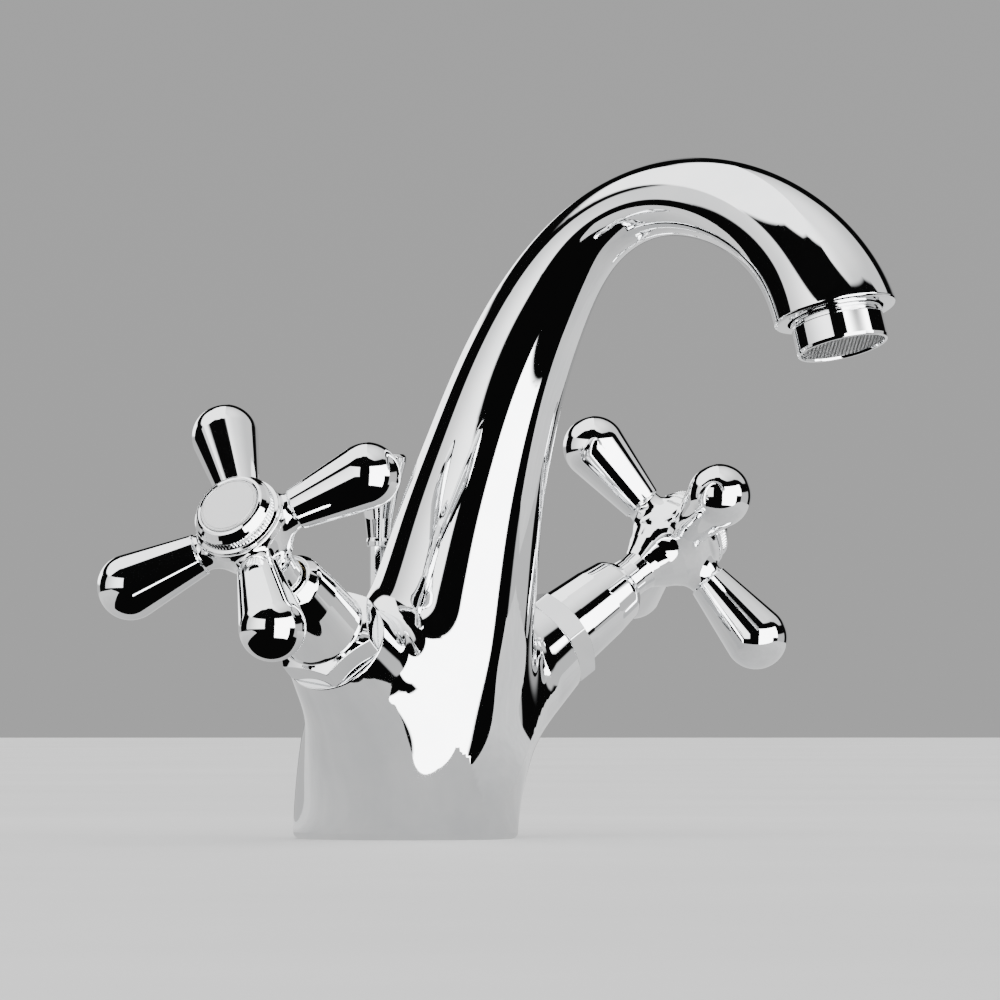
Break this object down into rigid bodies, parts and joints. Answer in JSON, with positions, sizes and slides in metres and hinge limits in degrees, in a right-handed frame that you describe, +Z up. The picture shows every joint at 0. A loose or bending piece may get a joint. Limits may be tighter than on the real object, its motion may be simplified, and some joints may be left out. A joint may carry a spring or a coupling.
{
  "type": "basin mixer faucet",
  "caption": "Chromed basin mixer with a tall swan-neck spout, cross handles on two angled valves, a screen aerator and a lift rod for the pop-up waste.",
  "frame": {"origin": "on the deck, at the middle of the body's oval base, where the tap hole's axis meets the deck", "axes": "+Z up; the spout points towards -Y; the hot valve is on the -X side and the cold valve on the +X side"},
  "size_m": [0.198, 0.1805, 0.2293],
  "materials": {
    "chrome": "polished chrome plate, mirror bright",
    "satin_disc": "pale satin blank index disc with a thin dark edge line",
    "brass": "turned brass, unplated",
    "zinc": "bright zinc-plated steel",
    "steel_mesh": "fine stainless steel wire",
    "rubber": "matt black rubber",
    "ceramic": null,
    "grey_plastic": "moulded acetal, satin"
  },
  "bodies": {
    "body": {"faucet_body": "chrome", "base_seal": "rubber", "mounting_stud": "zinc", "deck_gasket": "rubber", "clamp_plate": "zinc", "stud_nut": "brass", "rod_bush": "chrome", "aerator_shell": "chrome", "aerator_insert": "grey_plastic", "aerator_mesh": "steel_mesh", "aerator_washer": "rubber", "hot_headwork": "brass", "hot_seat_seal": "rubber", "hot_fixed_disc": "ceramic", "hot_shroud": "chrome", "cold_headwork": "brass", "cold_seat_seal": "rubber", "cold_fixed_disc": "ceramic", "cold_shroud": "chrome"},
    "hot_handle": {"hot_handle_cross": "chrome", "hot_handle_screw": "zinc", "hot_index_cap": "chrome", "hot_index_disc": "satin_disc", "hot_spindle": "brass", "hot_spindle_ring": "rubber", "hot_circlip": "steel_mesh", "hot_turning_disc": "ceramic"},
    "cold_handle": {"cold_handle_cross": "chrome", "cold_handle_screw": "zinc", "cold_index_cap": "chrome", "cold_index_disc": "satin_disc", "cold_spindle": "brass", "cold_spindle_ring": "rubber", "cold_circlip": "steel_mesh", "cold_turning_disc": "ceramic"},
    "lift_rod": {"lift_rod": "chrome", "lift_knob": "chrome", "rod_clamp": "zinc", "clamp_screw": "zinc"}
  },
  "joints": [
    {"name": "hot_turn", "type": "hinge", "parent": "body", "child": "hot_handle", "pos_m": [-0.07733, -0.0212, 0.07399], "axis": [-0.8153, -0.1927, 0.5461], "range_deg": [0, 90]},
    {"name": "cold_turn", "type": "hinge", "parent": "body", "child": "cold_handle", "pos_m": [0.07733, -0.0212, 0.07399], "axis": [-0.8153, 0.1927, -0.5461], "range_deg": [0, 90]},
    {"name": "rod_lift", "type": "slide", "parent": "body", "child": "lift_rod", "axis": [0, 0, 1], "range_m": [0, 0.025]}
  ]
}
